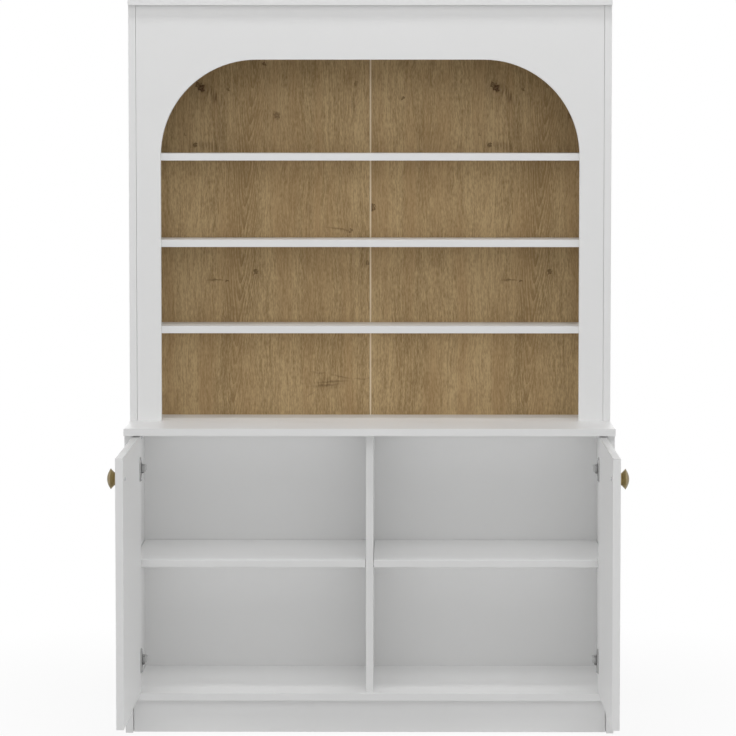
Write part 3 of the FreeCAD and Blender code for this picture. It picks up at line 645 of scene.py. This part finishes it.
def knob_profile():
    """Radius and height of the knob's outline as shares, from the middle of its foot to the top of its dome.

    The cone is a line bent by a power, the rim half an ellipse, and the dome a parabola.
    """
    foot = [(0.0, 0.0), (FOOT_RADIUS_SHARE, 0.0), (FOOT_RADIUS_SHARE, EDGE_SHARE),
            (FOOT_RADIUS_SHARE - EDGE_SHARE, FOOT_HEIGHT_SHARE / 2)]
    climb = np.linspace(0, 1, CONE_STEPS)
    cone = np.stack([NECK_RADIUS_SHARE + (1 - EDGE_SHARE - NECK_RADIUS_SHARE) * climb ** CONE_POWER,
                     FOOT_HEIGHT_SHARE + (RIM_LOW_SHARE - FOOT_HEIGHT_SHARE) * climb], axis=1)
    turn = np.linspace(-math.pi / 2, math.pi / 2, RIM_STEPS)
    rim_middle = (RIM_LOW_SHARE + RIM_HIGH_SHARE) / 2
    rim = np.stack([1 - EDGE_SHARE + EDGE_SHARE * np.cos(turn),
                    rim_middle + (RIM_HIGH_SHARE - RIM_LOW_SHARE) / 2 * np.sin(turn)], axis=1)
    dome_radius = np.linspace(1 - EDGE_SHARE, 0, DOME_STEPS)[1:]
    dome = np.stack([dome_radius, 1 - (1 - RIM_HIGH_SHARE) * (dome_radius / (1 - EDGE_SHARE)) ** 2], axis=1)
    return np.concatenate([foot, cone, rim, dome])


def map_by_height(knob, foot, axis, height):
    """Gives a knob a UV map whose height is the share of the way out from its foot."""
    out_from_door = (mesh_points(knob.data) - foot) @ axis
    corners = np.empty(len(knob.data.loops), dtype=np.int64)
    knob.data.loops.foreach_get("vertex_index", corners)
    flat = np.stack([np.zeros(len(corners)), out_from_door[corners] / height], axis=1)
    knob.data.uv_layers.new(name="turned").data.foreach_set("uv", flat.ravel())


def turned_knob(side):
    """The profile, scaled to the radius and height of the knob's box, spun about the way out of the door."""
    low, high = (np.array(corner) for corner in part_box(f"{side}_knob"))
    radius = (high[Y] - low[Y]) / 2
    height = high[X] - low[X]
    axis = np.array([-INWARD[side], 0.0, 0.0])
    foot = (low + high) / 2
    foot[X] = high[X] if side == "left" else low[X]
    outline = knob_profile()[:, :, None] * np.ones(KNOB_ROUND_STEPS)
    points = spun(foot, axis, outline[:, 0] * radius, outline[:, 1] * height)
    knob = make_piece(f"{side}_turned_knob", f"{side}_knob", [points], brass, f"{side}_leaf")
    map_by_height(knob, foot, axis, height)


brass = aged_brass()
for side in INWARD:
    turned_knob(side)

# %% [markdown]
# Every screw of the hinges, knobs and brackets has a low pan head with a cross recess. First, the places of
# the model's plain screws are needed. A node holds several screws, so its points are split wherever there
# is a gap square to the screws' axis, and each group is one screw.

# %% Finding the screws
SPLIT_GAP = 0.002


def split_solids(node, ways):
    """Splits a CAD piece's points wherever a gap along one of the ways is wider than the split gap."""
    groups = [mesh_points(nodes[node].data)]
    for way in ways:
        parts = []
        for group in groups:
            ordered = group[np.argsort(group[:, way])]
            breaks = np.nonzero(np.diff(ordered[:, way]) > SPLIT_GAP)[0] + 1
            parts += np.split(ordered, breaks)
        groups = parts
    return groups


print(len(split_solids("hinge_arm_screws", (Z, Y))), "screws in the hinge arms")

# %% [markdown]
# A boolean cut could make the recess, but it leaves ragged faces. Here the head is a grid of rings and
# spokes whose height is a formula: a low dome, less a smooth cross near the middle. More rings go over the
# edge and down the shank to the tip.

# %% Screws with a cross recess
HEAD_SPOKES = 48
HEAD_RINGS = 14
HEAD_EDGE_SHARE = 0.55
CROSS_LONG_SHARE = 0.62
CROSS_WIDE_SHARE = 0.17
CROSS_SOFT_SHARE = 0.06
CROSS_DEPTH_SHARE = 0.62
SHANK_SHARE = 0.45
TIP_SHARE = 1.6
# Points further from the axis than this share of the radius belong to the head
HEAD_POINTS_SHARE = 0.9


def soft_inside(value, half):
    """1 where the value lies inside plus or minus half, falling to 0 across a soft edge."""
    return np.clip((half - np.abs(value)) / CROSS_SOFT_SHARE + 0.5, 0, 1)


def cross_recess(reach):
    """1 inside a cross of two bars, so far out on each spoke of a head of radius 1, else 0."""
    turn = full_turn(HEAD_SPOKES)
    across, along = reach * np.cos(turn), reach * np.sin(turn)
    bars = [soft_inside(first, CROSS_LONG_SHARE) * soft_inside(second, CROSS_WIDE_SHARE)
            for first, second in ((across, along), (along, across))]
    return np.maximum(*bars)


def screw_grid(base, axis, radius, head_height, length):
    """Points of one screw, ring by ring from the middle of its head, over the edge and down to its tip."""
    reach = np.linspace(0, 1, HEAD_RINGS)[:, None] * np.ones(HEAD_SPOKES)
    dome = HEAD_EDGE_SHARE + (1 - HEAD_EDGE_SHARE) * np.sqrt(1 - reach ** 2)
    height = head_height * (dome - CROSS_DEPTH_SHARE * cross_recess(reach))
    shank = radius * SHANK_SHARE
    below = np.array([(radius, 0.0), (shank, 0.0), (shank, TIP_SHARE * radius - length), (0.0, -length)])
    below = below[:, :, None] * np.ones(HEAD_SPOKES)
    reach = np.concatenate([reach * radius, below[:, 0]])
    height = np.concatenate([height, below[:, 1]])
    return spun(base, axis, reach, height)


def cross_screws(node, way, body, looking):
    """Replaces a node's plain screws. Looking gives the way a head looks, from the middle of its screw."""
    grids = []
    square = [other for other in (Z, Y, X) if other != way]
    for points in split_solids(node, square):
        low, high = points.min(axis=0), points.max(axis=0)
        middle = (low + high) / 2
        axis = looking(middle) * np.eye(3)[way]
        radius = (high - low)[square].max() / 2
        off_axis = np.linalg.norm((points - middle)[:, square], axis=1)
        along = (points - middle) @ axis
        under_head = along[off_axis > HEAD_POINTS_SHARE * radius].min()
        grids.append(screw_grid(middle + under_head * axis, axis, radius, along.max() - under_head,
                                under_head - along.min()))
    make_piece(f"cross_{node}", node, grids, zinc, body)


def to_middle(place):
    """The way along x from a place to the middle of the buffet."""
    return -np.sign(place[X])


def downwards(place):
    """The way along z of a head that looks down."""
    return -1.0


for side in INWARD:
    cross_screws(f"{side}_hinge_cup_screws", X, f"{side}_leaf", to_middle)
    cross_screws(f"{side}_knob_screw", X, f"{side}_leaf", to_middle)
    cross_screws(f"{side}_hinge_plate_screws", X, "cabinet", to_middle)
cross_screws("hinge_arm_screws", X, "cabinet", to_middle)
cross_screws("wall_bracket_screws", Z, "cabinet", downwards)

# %% [markdown]
# The cup of a concealed hinge is deep drawn from one sheet: a round pot in the door, and a thick flange
# with bevelled edges that lies on its face. Both are one surface here. The rings start in the middle of the
# pot's floor, climb its wall, spread across the flange from a circle to a rounded oblong, and go back under
# it to the pot's foot.

# %% Hinge cups
HINGES = [(side, level) for side in INWARD for level in ("upper", "lower")]
CUP_SPOKES = 96
CUP_OFFSET = 0.003
CUP_INSIDE = 0.016
CUP_OUTSIDE = 0.0174
CUP_FLOOR = 0.001
CUP_LIP = 0.0005
FLANGE_BEVELS = (0.0020, 0.0028)
FLANGE_FOOT = 0.0008
FLANGE_POWER = 6.0


def oblong(steps, power=2.0, half_width=1.0, half_height=1.0):
    """A circle whose cosine and sine are taken to 2 over a power. A power over 2 squares it."""
    turn = full_turn(steps)
    way = np.stack([np.cos(turn), np.sin(turn)], axis=-1)
    return np.sign(way) * np.abs(way) ** (2 / power) * (half_width, half_height)


def hinge_cup(side, level):
    """Rings from the pot's floor to the flange's edge and back under it, each a flat outline at a height."""
    node = f"{side}_{level}_hinge_cup"
    low, high = (np.array(corner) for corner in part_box(node))
    inward = INWARD[side]
    door_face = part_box(f"{side}_door")[1 if inward > 0 else 0][X]
    depth = abs(door_face - (low if inward > 0 else high)[X])
    flange_top = abs((high if inward > 0 else low)[X] - door_face)
    circle = oblong(CUP_SPOKES)
    half = (high - low)[1:] / 2
    edge = oblong(CUP_SPOKES, FLANGE_POWER, *half) - (CUP_OFFSET, 0)
    bevelled = oblong(CUP_SPOKES, FLANGE_POWER, *(half - FLANGE_BEVELS)) - (CUP_OFFSET, 0)
    mouth = circle * (CUP_INSIDE + CUP_LIP)
    rings = [(circle * 0, CUP_FLOOR - depth), (circle * (CUP_INSIDE - CUP_LIP), CUP_FLOOR - depth),
             (circle * CUP_INSIDE, CUP_FLOOR + CUP_LIP - depth), (circle * CUP_INSIDE, flange_top - CUP_LIP),
             (mouth, flange_top), ((mouth + bevelled) / 2, flange_top), (bevelled, flange_top),
             (edge, FLANGE_FOOT), (edge, 0.0), (circle * CUP_OUTSIDE, 0.0),
             (circle * CUP_OUTSIDE, CUP_LIP - depth), (circle * (CUP_OUTSIDE - CUP_LIP), -depth),
             (circle * 0, -depth)]
    flat = np.stack([outline for outline, rise in rings])
    rise = np.array([rise for outline, rise in rings])[:, None] * np.ones(CUP_SPOKES)
    middle_y, middle_z = (low + high)[1:] / 2
    points = np.stack([door_face + inward * rise, middle_y + CUP_OFFSET + flat[..., 0],
                       middle_z + flat[..., 1]], axis=-1)
    make_piece(f"{side}_{level}_drawn_cup", node, [points], nickel, f"{side}_leaf")


for side, level in HINGES:
    hinge_cup(side, level)

# %% [markdown]
# The arm of the hinge is pressed from sheet too: a channel with rounded shoulders that runs forward from
# its plate, steps over in a smooth crank, and narrows to a nose that reaches into the cup. It is a profile
# carried along a path. The profile is a rounded oblong, and the path gives its two faces at each place from
# rear to front.

# %% Hinge arms
ARM_STEPS = 41
ARM_SPOKES = 48
ARM_POWER = 5.0
CRANK_START_SHARE = 0.30
CRANK_END_SHARE = 0.50
NOSE_FACES_SHARES = (0.604, 1.0)
BODY_FACES_SHARES = (0.0, 0.453)
REAR_TAPER_SHARE = 0.12
ARM_RIB = 0.0008
RIB_HALF_WIDTH = 0.005


def close_ends(points):
    """Closes a swept surface by a row at each end whose points all lie in the end's middle."""
    ends = [np.broadcast_to(points[row].mean(axis=0), points[row].shape)[None] for row in (0, -1)]
    return np.concatenate([ends[0], points, ends[1]])


def hinge_arm(side, level):
    """An oblong carried from rear to front, whose faces ease from the body's to the nose's along the crank.

    The ease is three squares less two cubes of the share passed, so the crank starts and ends level.
    """
    node = f"{side}_{level}_hinge_arm"
    low, high = (np.array(corner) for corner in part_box(node))
    inward = INWARD[side]
    wall_side = (low if inward > 0 else high)[X]
    rearward = np.linspace(1, 0, ARM_STEPS)
    ease = np.clip((rearward - CRANK_START_SHARE) / (CRANK_END_SHARE - CRANK_START_SHARE), 0, 1)
    ease = ease * ease * (3 - 2 * ease)
    near, far = ((high - low)[X] * (nose * (1 - ease) + body * ease)
                 for nose, body in zip(NOSE_FACES_SHARES, BODY_FACES_SHARES))
    half_height = (high - low)[Z] / 2 * (1 - REAR_TAPER_SHARE * rearward)
    profile = oblong(ARM_SPOKES, ARM_POWER)
    across = (near + far)[:, None] / 2 + (far - near)[:, None] / 2 * profile[:, 0]
    rise = half_height[:, None] * profile[:, 1]
    # A shallow rib along the face that shows stiffens the sheet
    across = across - ARM_RIB * np.exp(-(rise / RIB_HALF_WIDTH) ** 2) * (profile[:, 0] > 0)
    length = np.broadcast_to((low[Y] + rearward * (high - low)[Y])[:, None], across.shape)
    points = close_ends(np.stack([wall_side + inward * across, length, (low + high)[Z] / 2 + rise], axis=-1))
    # The arm takes the brighter nickel, a painted highlight
    make_piece(f"{side}_{level}_pressed_arm", node, [points], painted_lit_nickel, "cabinet")


for side, level in HINGES:
    hinge_arm(side, level)

# %% [markdown]
# Two thin links join cup and arm, one above and one below the arm's nose. Each is a flat bar that stands up
# from the floor of the cup and bends over to the nose. Here a rounded oblong is carried along that path: a
# straight run, a quarter of a circle, and a second straight run, with the profile always square to the way
# it goes.

# %% Hinge links
LINK_WIDTH = 0.0064
LINK_BEND = 0.0050
LINK_RUN_STEPS = 6
LINK_BEND_STEPS = 12
LINK_SPOKES = 24
LINK_POWER = 6.0


def link_path(length, reach):
    """Points and directions of a path that goes out by a length, turns square and goes on by a reach."""
    turn = np.linspace(0, math.pi / 2, LINK_BEND_STEPS)
    out_run = np.linspace(0, length - LINK_BEND, LINK_RUN_STEPS)[:-1]
    over_run = np.linspace(LINK_BEND, reach, LINK_RUN_STEPS)[1:]
    places = np.concatenate([np.stack([out_run, 0 * out_run], axis=1),
                             np.stack([length - LINK_BEND + LINK_BEND * np.sin(turn),
                                       LINK_BEND - LINK_BEND * np.cos(turn)], axis=1),
                             np.stack([np.full_like(over_run, length), over_run], axis=1)])
    angles = np.concatenate([0 * out_run, turn, np.full_like(over_run, math.pi / 2)])
    return places, angles


def link_grid(low, high, inward):
    """The path's places, moved aside by the profile along the sine and cosine of the path's angle."""
    size = high - low
    places, angles = link_path(size[X] - LINK_WIDTH / 2, size[Y] - LINK_WIDTH / 2)
    profile = oblong(LINK_SPOKES, LINK_POWER, LINK_WIDTH / 2, size[Z] / 2)
    across = places[:, None, 0] - np.sin(angles)[:, None] * profile[:, 0]
    over = places[:, None, 1] + np.cos(angles)[:, None] * profile[:, 0]
    rise = np.broadcast_to(profile[:, 1], across.shape)
    foot = (low if inward > 0 else high)[X]
    return close_ends(np.stack([foot + inward * across, low[Y] + LINK_WIDTH / 2 + over,
                                (low + high)[Z] / 2 + rise], axis=-1))


def hinge_links(side, level):
    """Both links of a hinge, found in its node by the gap between them."""
    node = f"{side}_{level}_hinge_links"
    solids = split_solids(node, (Z,))
    grids = [link_grid(solid.min(axis=0), solid.max(axis=0), INWARD[side]) for solid in solids]
    # The links take the darker nickel, painted shade
    make_piece(f"{side}_{level}_swept_links", node, grids, painted_shade_nickel, f"{side}_leaf")


for side, level in HINGES:
    hinge_links(side, level)

# %% [markdown]
# The boards are drawn together by cams: round discs, flush in the board, with a cross for the screwdriver.
# They use the screw's recess on a flat disc. A disc's axis is the way in which it is shortest, and since
# either end may show, both get the cross.

# %% Cam discs
CAM_CROSS_DEPTH = 0.003
CAM_BEVEL = 0.0004


def cam_grid(low, high):
    """Rings of one disc, from the middle of one end, down the side, and back to the middle of the other."""
    way = int(np.argmin(high - low))
    half = (high - low)[way] / 2
    radius = np.delete(high - low, way).max() / 2
    flat = np.linspace(0, 1 - CAM_BEVEL / radius, HEAD_RINGS)[:, None] * np.ones(HEAD_SPOKES)
    top = half - CAM_CROSS_DEPTH * cross_recess(flat)
    rim = np.ones((1, HEAD_SPOKES))
    reach = np.concatenate([flat, rim, rim, flat[::-1]]) * radius
    height = np.concatenate([top, rim * (half - CAM_BEVEL), rim * (CAM_BEVEL - half), -top[::-1]])
    return spun((low + high) / 2, np.eye(3)[way], reach, height)


for node in ("base_cam_discs", "hutch_cam_discs"):
    solids = split_solids(node, (X, Z, Y))
    grids = [cam_grid(solid.min(axis=0), solid.max(axis=0)) for solid in solids]
    make_piece(f"cross_{node}", node, grids, zinc, "cabinet")

# %% [markdown]
# The stage is a floor that fades to plain white, under an even sky. The camera sees both floor and sky as
# white paper, but the floor keeps part of its own shading near the buffet, so the shadow stays.

# %% Floor and sky
FLOOR_HALF = 9.0
FLOOR_STEPS = 3
SHADOW_NEAR = 0.7
SHADOW_FAR = 1.8
SHADOW_SHARE = 0.10
FLOOR_WHITE = (0.86, 0.86, 0.86, 1.0)
PAPER_WHITE = (1.0, 1.0, 1.0, 1.0)
SKY_LEVEL = 0.34


def seen_directly(tree):
    """1 for what the camera, a mirror or a pane shows, 0 for what lights other surfaces."""
    path = add(tree, "ShaderNodeLightPath").outputs
    shown = work_out(tree, "MAXIMUM", path["Is Camera Ray"], path["Is Glossy Ray"])
    return work_out(tree, "MAXIMUM", shown, path["Is Transmission Ray"])


def paper_floor():
    """White paper, mixed with a matt floor by a share that falls to nothing away from the buffet."""
    finish = bpy.data.materials.new("paper_floor")
    finish.use_nodes = True
    tree = finish.node_tree
    tree.nodes.clear()
    where = add(tree, "ShaderNodeTexCoord").outputs["Object"]
    away = add(tree, "ShaderNodeVectorMath", {0: where}, operation="LENGTH").outputs["Value"]
    kept = between(tree, away, SHADOW_NEAR, SHADOW_FAR, SHADOW_SHARE, 0.0)
    matt = add(tree, "ShaderNodeBsdfDiffuse", {"Color": FLOOR_WHITE}).outputs[0]
    paper = add(tree, "ShaderNodeEmission", {"Color": PAPER_WHITE}).outputs[0]
    white = work_out(tree, "MULTIPLY", seen_directly(tree), work_out(tree, "SUBTRACT", 1.0, kept))
    mixed = add(tree, "ShaderNodeMixShader", {0: white, 1: matt, 2: paper}).outputs[0]
    add(tree, "ShaderNodeOutputMaterial", {"Surface": mixed})
    return finish


def studio_sky():
    """An even sky that lights at its own level and is seen as white."""
    sky = bpy.data.worlds.new("studio_sky")
    sky.use_nodes = True
    tree = sky.node_tree
    tree.nodes.clear()
    level = between(tree, seen_directly(tree), 0.0, 1.0, SKY_LEVEL, 1.0)
    light = add(tree, "ShaderNodeBackground", {"Color": PAPER_WHITE, "Strength": level}).outputs[0]
    add(tree, "ShaderNodeOutputWorld", {"Surface": light})
    return sky


steps = np.linspace(-FLOOR_HALF, FLOOR_HALF, FLOOR_STEPS)
floor_x, floor_y = np.meshgrid(steps, steps)
floor_points = np.stack([floor_x, floor_y, np.zeros_like(floor_x)], axis=-1).reshape(-1, 3)
floor_numbers = np.arange(FLOOR_STEPS ** 2).reshape(FLOOR_STEPS, FLOOR_STEPS)
floor_faces = np.stack([floor_numbers[:-1, :-1], floor_numbers[:-1, 1:], floor_numbers[1:, 1:],
                        floor_numbers[1:, :-1]], axis=-1).reshape(-1, 4)
floor_mesh = bpy.data.meshes.new("floor")
floor_mesh.from_pydata(floor_points.tolist(), [], floor_faces.tolist())
floor_mesh.materials.append(paper_floor())
floor = bpy.data.objects.new("floor", floor_mesh)
bpy.context.scene.collection.objects.link(floor)
bpy.context.scene.world = studio_sky()
print(f"floor of {len(floor_faces)} faces, sky at {SKY_LEVEL}")

# %% [markdown]
# White furniture needs flat light: a wide lamp in front and above, one overhead, one at each side and one
# behind, all about as strong. They leave the upper part of each bay a little darker, as in the photograph.

# %% Lamps
# Lamps: place, the point each looks at, width and height, and power in watts
LAMPS = {"high": ((0.0, -4.6, 3.7), (0.0, 0.0, 0.95), (4.5, 3.0), 49.0),
         "overhead": ((0.0, -1.7, 5.2), (0.0, -0.2, 0.7), (3.0, 1.0), 50.0),
         "left": ((-6.0, -2.6, 2.0), (0.0, 0.0, 0.95), (4.5, 3.0), 46.0),
         "right": ((6.0, -2.6, 2.0), (0.0, 0.0, 0.95), (4.5, 3.0), 46.0),
         "rear": ((0.0, 5.6, 3.0), (0.0, 0.0, 0.9), (4.5, 3.0), 60.0)}


def hang_lamp(name, place, aim, size, power):
    """A rectangular lamp at a place, turned to look at a point.

    It looks down at first, is tipped up by the angle from straight down, and then turned round.
    """
    lamp_data = bpy.data.lights.new(name, "AREA")
    lamp_data.shape = "RECTANGLE"
    lamp_data.size, lamp_data.size_y = size
    lamp_data.energy = power
    lamp = bpy.data.objects.new(name, lamp_data)
    bpy.context.scene.collection.objects.link(lamp)
    lamp.location = place
    lamp.visible_camera = False
    away = np.array(aim) - np.array(place)
    tip_up = math.atan2(math.hypot(away[X], away[Y]), -away[Z])
    turn_round = math.atan2(-away[X], away[Y])
    lamp.rotation_euler = (tip_up, 0, turn_round)
    print(f"lamp {name} of {power} W")


for name, (place, aim, size, power) in LAMPS.items():
    hang_lamp(name, place, aim, size, power)

# %% [markdown]
# The photograph shows the inside of the buffet almost as bright as its front, as a retoucher's fill does.
# Seven very weak lamps do this here. Each lies flat under the board that roofs a space, and is nearly as
# large as the shelf there.

# %% Fill inside the base and under the shelves of the hutch
INSIDE_MARGIN = 0.03
INSIDE_DROP = 0.005
BASE_FILL_POWER = 0.28
BAY_FILL_POWERS = {"upper": 0.07, "middle": 0.06, "lower": 0.15}


def fill_under(name, roof, shelf, power):
    """A weak lamp under the roof board, in line with a shelf's middle and smaller by a margin all round."""
    low, high = (np.array(corner)[:2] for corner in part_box(shelf))
    middle_x, middle_y = (low + high) / 2
    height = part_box(roof)[0][Z] - INSIDE_DROP
    size = high - low - 2 * INSIDE_MARGIN
    hang_lamp(name, (middle_x, middle_y, height), (middle_x, middle_y, 0.0), size, power)


for side in INWARD:
    fill_under(f"inside_upper_{side}", "worktop", f"base_shelf_{side}", BASE_FILL_POWER)
    fill_under(f"inside_lower_{side}", f"base_shelf_{side}", f"base_shelf_{side}", BASE_FILL_POWER)
for level, power in BAY_FILL_POWERS.items():
    fill_under(f"under_{level}_shelf", f"hutch_shelf_{level}", f"hutch_shelf_{level}", power)

# %% [markdown]
# The photograph was taken from far away with a long lens, a little above the middle of the buffet and a
# little to the right. The camera stands there, turned to bring the buffet into the frame.

# %% Camera
EYE = (0.0578, -8.975, 1.5247)
TURN_LEFT = math.radians(0.4024)
TILT_DOWN = math.radians(4.0796)
LENS_MM = 175.65

camera_data = bpy.data.cameras.new("camera")
camera_data.lens = LENS_MM
camera = bpy.data.objects.new("camera", camera_data)
bpy.context.scene.collection.objects.link(camera)
camera.location = EYE
camera.rotation_euler = (math.pi / 2 - TILT_DOWN, 0, TURN_LEFT)
bpy.context.scene.camera = camera
bpy.context.scene.view_settings.view_transform = "Standard"
print(f"camera {LENS_MM} mm at {EYE}")
